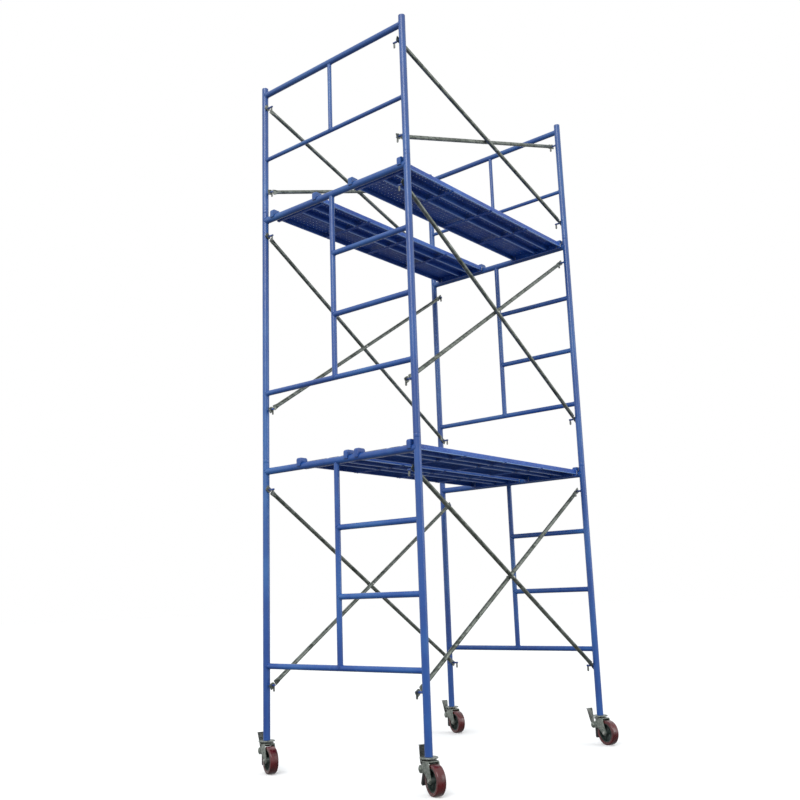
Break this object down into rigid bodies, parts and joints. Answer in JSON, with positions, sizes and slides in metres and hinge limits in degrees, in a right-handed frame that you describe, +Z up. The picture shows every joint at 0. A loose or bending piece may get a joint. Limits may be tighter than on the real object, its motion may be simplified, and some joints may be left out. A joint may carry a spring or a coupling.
{
  "type": "rolling frame scaffold tower",
  "caption": "Rolling scaffold tower of stacked ladder frames with guard frames, cross braces, hook-on planks and braked casters.",
  "frame": {"origin": "on the floor, under the middle of the four legs", "axes": "+X along the bay from end A to end B, +Y across the frames from the rung side to the open side, +Z up"},
  "size_m": [1.9703, 1.468, 4.421],
  "materials": {
    "bolt_zinc": "zinc plated",
    "brace_galvanised": "galvanised, dulled",
    "caster_zinc": "zinc plated pressing",
    "frame_paint": "blue gloss enamel on welded steel tube",
    "hub_plastic": "black moulded, satin",
    "latch_zinc": "zinc plated pressing",
    "pedal_zinc": "zinc plated pressing",
    "pin_zinc": "zinc plated",
    "plank_paint": "blue enamel on pressed and perforated sheet",
    "rivet_zinc": "zinc plated",
    "stud_paint": "blue gloss enamel, worn to steel at the tips",
    "tyre_red": "dark red polyurethane, glossy"
  },
  "bodies": {
    "tower": {"brace_guard_left_falling": "brace_galvanised", "brace_guard_left_rising": "brace_galvanised", "brace_guard_right_falling": "brace_galvanised", "brace_guard_right_rising": "brace_galvanised", "brace_lower_left_falling": "brace_galvanised", "brace_lower_left_rising": "brace_galvanised", "brace_lower_right_falling": "brace_galvanised", "brace_lower_right_rising": "brace_galvanised", "brace_rivets": "rivet_zinc", "brace_studs": "stud_paint", "brace_upper_left_falling": "brace_galvanised", "brace_upper_left_rising": "brace_galvanised", "brace_upper_right_falling": "brace_galvanised", "brace_upper_right_rising": "brace_galvanised", "caster_races": "caster_zinc", "caster_stems": "caster_zinc", "coupling_pins": "pin_zinc", "frame_guard_a": "frame_paint", "frame_guard_b": "frame_paint", "frame_lower_a": "frame_paint", "frame_lower_b": "frame_paint", "frame_upper_a": "frame_paint", "frame_upper_b": "frame_paint"},
    "swivel_a_right": {"caster_a_right_fork": "caster_zinc", "caster_a_right_axle": "bolt_zinc"},
    "wheel_a_right": {"caster_a_right_hub": "hub_plastic", "caster_a_right_tyre": "tyre_red"},
    "brake_a_right": {"caster_a_right_pedal": "pedal_zinc"},
    "swivel_a_left": {"caster_a_left_fork": "caster_zinc", "caster_a_left_axle": "bolt_zinc"},
    "wheel_a_left": {"caster_a_left_hub": "hub_plastic", "caster_a_left_tyre": "tyre_red"},
    "brake_a_left": {"caster_a_left_pedal": "pedal_zinc"},
    "swivel_b_right": {"caster_b_right_fork": "caster_zinc", "caster_b_right_axle": "bolt_zinc"},
    "wheel_b_right": {"caster_b_right_hub": "hub_plastic", "caster_b_right_tyre": "tyre_red"},
    "brake_b_right": {"caster_b_right_pedal": "pedal_zinc"},
    "swivel_b_left": {"caster_b_left_fork": "caster_zinc", "caster_b_left_axle": "bolt_zinc"},
    "wheel_b_left": {"caster_b_left_hub": "hub_plastic", "caster_b_left_tyre": "tyre_red"},
    "brake_b_left": {"caster_b_left_pedal": "pedal_zinc"},
    "latches_lower_right_low": {"latches_lower_right_low": "latch_zinc"},
    "latches_lower_right_high": {"latches_lower_right_high": "latch_zinc"},
    "latches_lower_left_low": {"latches_lower_left_low": "latch_zinc"},
    "latches_lower_left_high": {"latches_lower_left_high": "latch_zinc"},
    "latches_upper_right_low": {"latches_upper_right_low": "latch_zinc"},
    "latches_upper_right_high": {"latches_upper_right_high": "latch_zinc"},
    "latches_upper_left_low": {"latches_upper_left_low": "latch_zinc"},
    "latches_upper_left_high": {"latches_upper_left_high": "latch_zinc"},
    "latches_guard_right_low": {"latches_guard_right_low": "latch_zinc"},
    "latches_guard_right_high": {"latches_guard_right_high": "latch_zinc"},
    "latches_guard_left_low": {"latches_guard_left_low": "latch_zinc"},
    "latches_guard_left_high": {"latches_guard_left_high": "latch_zinc"},
    "plank_lower_middle": {"plank_lower_middle": "plank_paint"},
    "plank_lower_right": {"plank_lower_right": "plank_paint"},
    "plank_upper_left": {"plank_upper_left": "plank_paint"},
    "plank_upper_right": {"plank_upper_right": "plank_paint"}
  },
  "joints": [
    {"name": "swivel_a_right", "type": "hinge", "parent": "tower", "child": "swivel_a_right", "pos_m": [-0.9145, -0.6095, 0.17], "axis": [0, 0, 1], "continuous": true},
    {"name": "wheel_a_right_spin", "type": "hinge", "parent": "swivel_a_right", "child": "wheel_a_right", "pos_m": [-0.94155, -0.6675, 0.076], "axis": [0.9063, -0.4226, 0], "continuous": true},
    {"name": "brake_a_right_pedal", "type": "hinge", "parent": "swivel_a_right", "child": "brake_a_right", "pos_m": [-0.89802, -0.57415, 0.118], "axis": [-0.9063, 0.4226, 0], "range_deg": [0, 20]},
    {"name": "swivel_a_left", "type": "hinge", "parent": "tower", "child": "swivel_a_left", "pos_m": [-0.9145, 0.6095, 0.17], "axis": [0, 0, 1], "continuous": true},
    {"name": "wheel_a_left_spin", "type": "hinge", "parent": "swivel_a_left", "child": "wheel_a_left", "pos_m": [-0.93951, 0.55059, 0.076], "axis": [0.9205, -0.3907, 0], "continuous": true},
    {"name": "brake_a_left_pedal", "type": "hinge", "parent": "swivel_a_left", "child": "brake_a_left", "pos_m": [-0.89926, 0.6454, 0.118], "axis": [-0.9205, 0.3907, 0], "range_deg": [-20, 0]},
    {"name": "swivel_b_right", "type": "hinge", "parent": "tower", "child": "swivel_b_right", "pos_m": [0.9145, -0.6095, 0.17], "axis": [0, 0, 1], "continuous": true},
    {"name": "wheel_b_right_spin", "type": "hinge", "parent": "swivel_b_right", "child": "wheel_b_right", "pos_m": [0.89261, -0.66964, 0.076], "axis": [0.9397, -0.342, 0], "continuous": true},
    {"name": "brake_b_right_pedal", "type": "hinge", "parent": "swivel_b_right", "child": "brake_b_right", "pos_m": [0.92784, -0.57285, 0.118], "axis": [-0.9397, 0.342, 0], "range_deg": [-20, 0]},
    {"name": "swivel_b_left", "type": "hinge", "parent": "tower", "child": "swivel_b_left", "pos_m": [0.9145, 0.6095, 0.17], "axis": [0, 0, 1], "continuous": true},
    {"name": "wheel_b_left_spin", "type": "hinge", "parent": "swivel_b_left", "child": "wheel_b_left", "pos_m": [0.89053, 0.55016, 0.076], "axis": [0.9272, -0.3746, 0], "continuous": true},
    {"name": "brake_b_left_pedal", "type": "hinge", "parent": "swivel_b_left", "child": "brake_b_left", "pos_m": [0.92911, 0.64566, 0.118], "axis": [-0.9272, 0.3746, 0], "range_deg": [-20, 0]},
    {"name": "latches_lower_right_low_flip", "type": "hinge", "parent": "tower", "child": "latches_lower_right_low", "pos_m": [0, -0.5455, 0.493], "axis": [1, 0, 0], "range_deg": [0, 90]},
    {"name": "latches_lower_right_high_flip", "type": "hinge", "parent": "tower", "child": "latches_lower_right_high", "pos_m": [0, -0.5455, 1.661], "axis": [1, 0, 0], "range_deg": [0, 90]},
    {"name": "latches_lower_left_low_flip", "type": "hinge", "parent": "tower", "child": "latches_lower_left_low", "pos_m": [0, 0.5455, 0.493], "axis": [-1, 0, 0], "range_deg": [0, 90]},
    {"name": "latches_lower_left_high_flip", "type": "hinge", "parent": "tower", "child": "latches_lower_left_high", "pos_m": [0, 0.5455, 1.661], "axis": [-1, 0, 0], "range_deg": [0, 90]},
    {"name": "latches_upper_right_low_flip", "type": "hinge", "parent": "tower", "child": "latches_upper_right_low", "pos_m": [0, -0.5455, 2.169], "axis": [1, 0, 0], "range_deg": [0, 90]},
    {"name": "latches_upper_right_high_flip", "type": "hinge", "parent": "tower", "child": "latches_upper_right_high", "pos_m": [0, -0.5455, 3.337], "axis": [1, 0, 0], "range_deg": [0, 90]},
    {"name": "latches_upper_left_low_flip", "type": "hinge", "parent": "tower", "child": "latches_upper_left_low", "pos_m": [0, 0.5455, 2.169], "axis": [-1, 0, 0], "range_deg": [0, 90]},
    {"name": "latches_upper_left_high_flip", "type": "hinge", "parent": "tower", "child": "latches_upper_left_high", "pos_m": [0, 0.5455, 3.337], "axis": [-1, 0, 0], "range_deg": [0, 90]},
    {"name": "latches_guard_right_low_flip", "type": "hinge", "parent": "tower", "child": "latches_guard_right_low", "pos_m": [0, -0.5455, 3.645], "axis": [1, 0, 0], "range_deg": [0, 90]},
    {"name": "latches_guard_right_high_flip", "type": "hinge", "parent": "tower", "child": "latches_guard_right_high", "pos_m": [0, -0.5455, 4.265], "axis": [1, 0, 0], "range_deg": [0, 90]},
    {"name": "latches_guard_left_low_flip", "type": "hinge", "parent": "tower", "child": "latches_guard_left_low", "pos_m": [0, 0.5455, 3.645], "axis": [-1, 0, 0], "range_deg": [0, 90]},
    {"name": "latches_guard_left_high_flip", "type": "hinge", "parent": "tower", "child": "latches_guard_left_high", "pos_m": [0, 0.5455, 4.265], "axis": [-1, 0, 0], "range_deg": [0, 90]},
    {"name": "plank_lower_middle_lift", "type": "slide", "parent": "tower", "child": "plank_lower_middle", "axis": [0, 0, 1], "range_m": [0, 0.1]},
    {"name": "plank_lower_right_lift", "type": "slide", "parent": "tower", "child": "plank_lower_right", "axis": [0, 0, 1], "range_m": [0, 0.1]},
    {"name": "plank_upper_left_lift", "type": "slide", "parent": "tower", "child": "plank_upper_left", "axis": [0, 0, 1], "range_m": [0, 0.1]},
    {"name": "plank_upper_right_lift", "type": "slide", "parent": "tower", "child": "plank_upper_right", "axis": [0, 0, 1], "range_m": [0, 0.1]}
  ]
}
